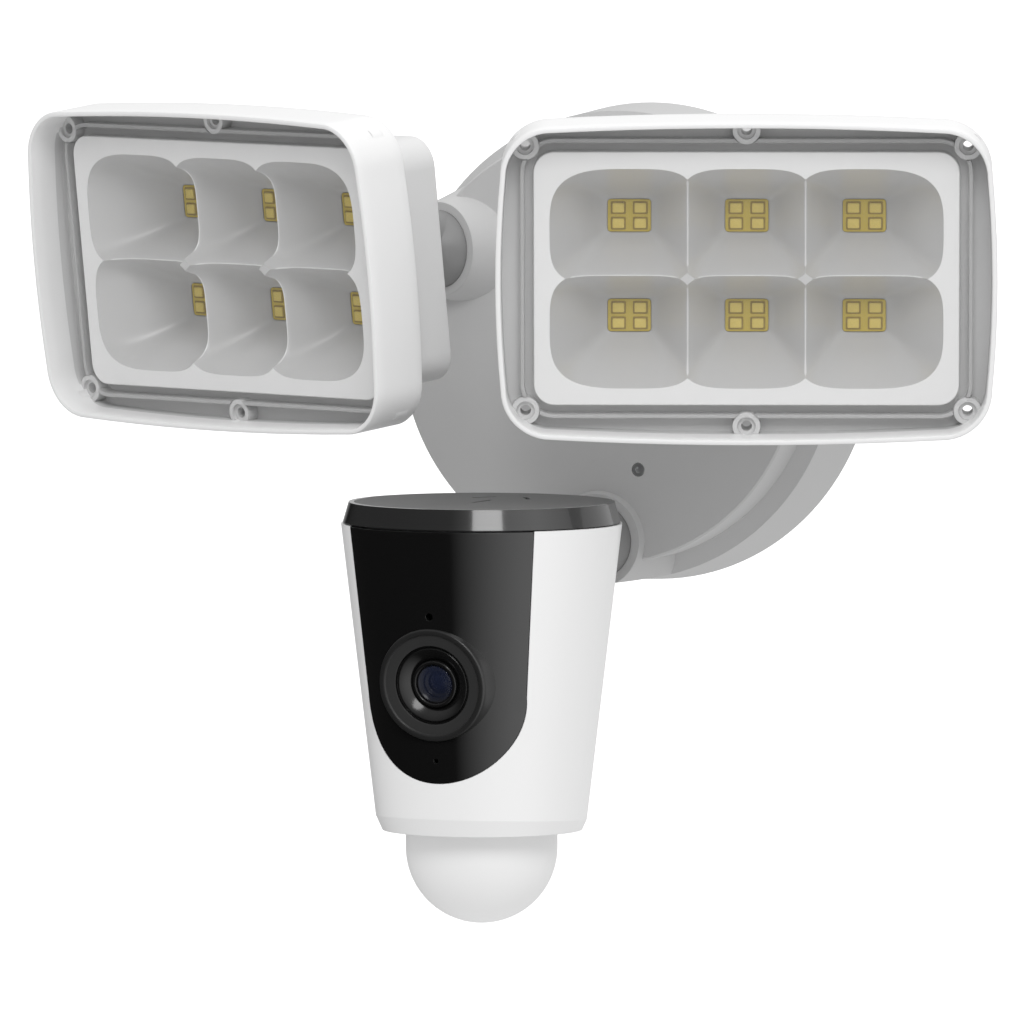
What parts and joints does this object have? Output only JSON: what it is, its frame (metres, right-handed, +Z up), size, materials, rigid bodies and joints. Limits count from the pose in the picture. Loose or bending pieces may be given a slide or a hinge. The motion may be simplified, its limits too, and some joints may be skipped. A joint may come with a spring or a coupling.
{
  "type": "floodlight security camera",
  "caption": "Wall-mounted security camera with a motion-sensor dome, hung below a round base, and a hinged rectangular floodlight head on each side above it.",
  "frame": {"origin": "centre of the wall bracket's back face, on the wall plane", "axes": "+Y into the wall, -Y out of the wall towards the viewer, +X to the object's right seen from the front, +Z up"},
  "size_m": [0.3186, 0.1767, 0.2458],
  "materials": {
    "zinc_steel": "zinc plated, satin",
    "black_rubber": "matte",
    "base_grey": "fine satin texture",
    "cover_grey": "matte",
    "board_green": "solder mask",
    "coil_brown": "varnished winding",
    "can_blue": "sleeved can",
    "terminal_green": "moulded",
    "arm_grey": "satin powder coat",
    "lamp_white": "satin white",
    "lamp_body": "satin light grey",
    "bare_aluminium": "milled",
    "board_white": "white solder mask",
    "led_amber": "matte ochre",
    "led_phosphor": "satin phosphor",
    "reflector_silver": "metallised, satin",
    "seal_grey": "satin silicone",
    "clear_window": "clear",
    "camera_white": "satin white",
    "gloss_black": "gloss",
    "cap_grey": "matte",
    "dome_white": "matte, translucent",
    "sensor_metal": "satin can",
    "lens_black": "satin and gloss",
    "lens_glass": "coated",
    "speaker_black": "matte"
  },
  "bodies": {
    "base": {"wall_bracket": "zinc_steel", "wall_gasket": "black_rubber", "base_shell": "base_grey", "back_cover": "cover_grey", "back_cover_seal": "black_rubber", "back_cover_screws": "zinc_steel", "lock_screws": "zinc_steel", "cable_grommet": "black_rubber", "power_board": "board_green", "transformer": "coil_brown", "capacitors": "can_blue", "terminal_block": "terminal_green", "arm_seals": "black_rubber"},
    "lamp_left_arm": {"lamp_left_arm": "arm_grey", "lamp_left_arm_nut": "zinc_steel", "lamp_left_hinge_bolt": "zinc_steel"},
    "lamp_left_head": {"lamp_left_bracket": "arm_grey", "lamp_left_screws": "zinc_steel", "lamp_left_housing": "lamp_body", "lamp_left_heat_sink": "bare_aluminium", "lamp_left_led_board": "board_white", "lamp_left_led_plates": "led_amber", "lamp_left_led_chips": "led_phosphor", "lamp_left_reflector": "reflector_silver", "lamp_left_seal": "seal_grey", "lamp_left_window": "clear_window", "lamp_left_bezel": "lamp_white"},
    "lamp_right_arm": {"lamp_right_arm": "arm_grey", "lamp_right_arm_nut": "zinc_steel", "lamp_right_hinge_bolt": "zinc_steel"},
    "lamp_right_head": {"lamp_right_bracket": "arm_grey", "lamp_right_screws": "zinc_steel", "lamp_right_housing": "lamp_body", "lamp_right_heat_sink": "bare_aluminium", "lamp_right_led_board": "board_white", "lamp_right_led_plates": "led_amber", "lamp_right_led_chips": "led_phosphor", "lamp_right_reflector": "reflector_silver", "lamp_right_seal": "seal_grey", "lamp_right_window": "clear_window", "lamp_right_bezel": "lamp_white"},
    "camera_arm": {"camera_arm": "arm_grey", "camera_arm_nut": "zinc_steel", "camera_hinge_bolt": "zinc_steel"},
    "camera_head": {"camera_bracket": "arm_grey", "camera_bracket_screws": "zinc_steel", "camera_housing": "camera_white", "camera_face_plate": "gloss_black", "camera_top_cap": "cap_grey", "camera_cap_trim": "gloss_black", "camera_bottom_plate": "camera_white", "camera_dome": "dome_white", "camera_motion_sensors": "sensor_metal", "camera_lens_ring": "lens_black", "camera_lens_barrel": "lens_black", "camera_lens_glass": "lens_glass", "camera_main_board": "board_green", "camera_speaker": "speaker_black"}
  },
  "joints": [
    {"name": "lamp_left_swivel", "type": "hinge", "parent": "base", "child": "lamp_left_arm", "pos_m": [-0.0511, -0.049, 0.0295], "axis": [-0.3827, -0.9239, 0], "range_deg": [-5, 12]},
    {"name": "lamp_left_tilt", "type": "hinge", "parent": "lamp_left_arm", "child": "lamp_left_head", "pos_m": [-0.06028, -0.07117, 0.0337], "axis": [0.9239, -0.3827, 0], "range_deg": [-20, 5]},
    {"name": "lamp_right_swivel", "type": "hinge", "parent": "base", "child": "lamp_right_arm", "pos_m": [0.0511, -0.049, 0.0295], "axis": [0.3827, -0.9239, 0], "range_deg": [-12, 5]},
    {"name": "lamp_right_tilt", "type": "hinge", "parent": "lamp_right_arm", "child": "lamp_right_head", "pos_m": [0.06028, -0.07117, 0.0337], "axis": [0.9239, 0.3827, 0], "range_deg": [-20, 5]},
    {"name": "camera_swivel", "type": "hinge", "parent": "base", "child": "camera_arm", "pos_m": [0, -0.0472, -0.059], "axis": [0, -1, 0], "range_deg": [-8, 8]},
    {"name": "camera_tilt", "type": "hinge", "parent": "camera_arm", "child": "camera_head", "pos_m": [0, -0.0712, -0.0632], "axis": [1, 0, 0], "range_deg": [-1, 60]}
  ]
}
